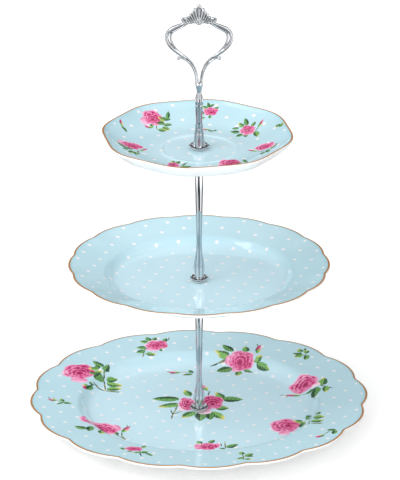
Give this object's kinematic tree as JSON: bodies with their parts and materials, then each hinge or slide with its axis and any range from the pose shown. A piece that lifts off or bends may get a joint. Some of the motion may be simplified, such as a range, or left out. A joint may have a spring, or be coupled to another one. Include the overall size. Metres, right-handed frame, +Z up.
{
  "type": "tiered cake stand",
  "caption": "Tiered cake stand: scalloped round china plates of falling size on a screwed chrome stem, with a loop handle and crest on top.",
  "frame": {"origin": "on the table under the stem's axis, at the foot ring of the bottom plate", "axes": "+Z up along the stem, +X to the right of the loop handle's face, -Y is the front"},
  "size_m": [0.271, 0.271, 0.3541],
  "materials": {
    "bottom_china": "glossy duck-egg blue glaze with white dots, pink roses and a gold rim, white below",
    "middle_china": "glossy duck-egg blue glaze with white dots and a gold rim, white below",
    "top_china": "glossy duck-egg blue glaze with white dots, pink roses and a gold rim, white below",
    "chrome": "bright chrome plating on a cast ornament",
    "zinc_steel": "dull zinc plate",
    "clear_rubber": "milky soft rubber"
  },
  "bodies": {
    "base": {"bottom_plate": "bottom_china"},
    "stem_base": {"bottom_bolt": "zinc_steel", "bottom_bolt_washer": "zinc_steel", "bottom_lower_gasket": "clear_rubber", "bottom_upper_gasket": "clear_rubber"},
    "lower_rosette": {"lower_rosette": "chrome"},
    "lower_stem": {"lower_rod": "chrome", "lower_stud": "zinc_steel", "middle_support_washer": "zinc_steel", "middle_lower_gasket": "clear_rubber"},
    "middle_tier": {"middle_plate": "middle_china", "middle_upper_gasket": "clear_rubber"},
    "middle_rosette": {"middle_rosette": "chrome"},
    "upper_stem": {"upper_rod": "chrome", "upper_stud": "zinc_steel", "top_support_washer": "zinc_steel", "top_lower_gasket": "clear_rubber"},
    "top_tier": {"top_plate": "top_china", "top_upper_gasket": "clear_rubber"},
    "top_rosette": {"top_rosette": "chrome"},
    "handle": {"handle": "chrome"}
  },
  "joints": [
    {"name": "stem_turn", "type": "hinge", "parent": "base", "child": "stem_base", "pos_m": [0, 0, 0.005], "axis": [0, 0, 1], "continuous": true},
    {"name": "lower_rod_unscrew", "type": "slide", "parent": "stem_base", "child": "lower_rosette", "axis": [0, 0, 1], "range_m": [0, 0.0084]},
    {"name": "lower_rod_turn", "type": "hinge", "parent": "lower_rosette", "child": "lower_stem", "pos_m": [0, 0, 0.01], "axis": [0, 0, 1], "range_deg": [0, 4320]},
    {"name": "middle_plate_turn", "type": "hinge", "parent": "lower_stem", "child": "middle_tier", "pos_m": [0, 0, 0.118], "axis": [0, 0, 1], "continuous": true},
    {"name": "upper_rod_unscrew", "type": "slide", "parent": "lower_stem", "child": "middle_rosette", "axis": [0, 0, 1], "range_m": [0, 0.0084]},
    {"name": "upper_rod_turn", "type": "hinge", "parent": "middle_rosette", "child": "upper_stem", "pos_m": [0, 0, 0.123], "axis": [0, 0, 1], "range_deg": [0, 4320]},
    {"name": "top_plate_turn", "type": "hinge", "parent": "upper_stem", "child": "top_tier", "pos_m": [0, 0, 0.231], "axis": [0, 0, 1], "continuous": true},
    {"name": "handle_unscrew", "type": "slide", "parent": "upper_stem", "child": "top_rosette", "axis": [0, 0, 1], "range_m": [0, 0.0084]},
    {"name": "handle_turn", "type": "hinge", "parent": "top_rosette", "child": "handle", "pos_m": [0, 0, 0.236], "axis": [0, 0, 1], "range_deg": [0, 4320]}
  ],
  "couplings": [
    {"joint": "lower_rod_turn", "follows": "lower_rod_unscrew", "rad_per_m": 8976},
    {"joint": "upper_rod_turn", "follows": "upper_rod_unscrew", "rad_per_m": 8976},
    {"joint": "handle_turn", "follows": "handle_unscrew", "rad_per_m": 8976}
  ]
}
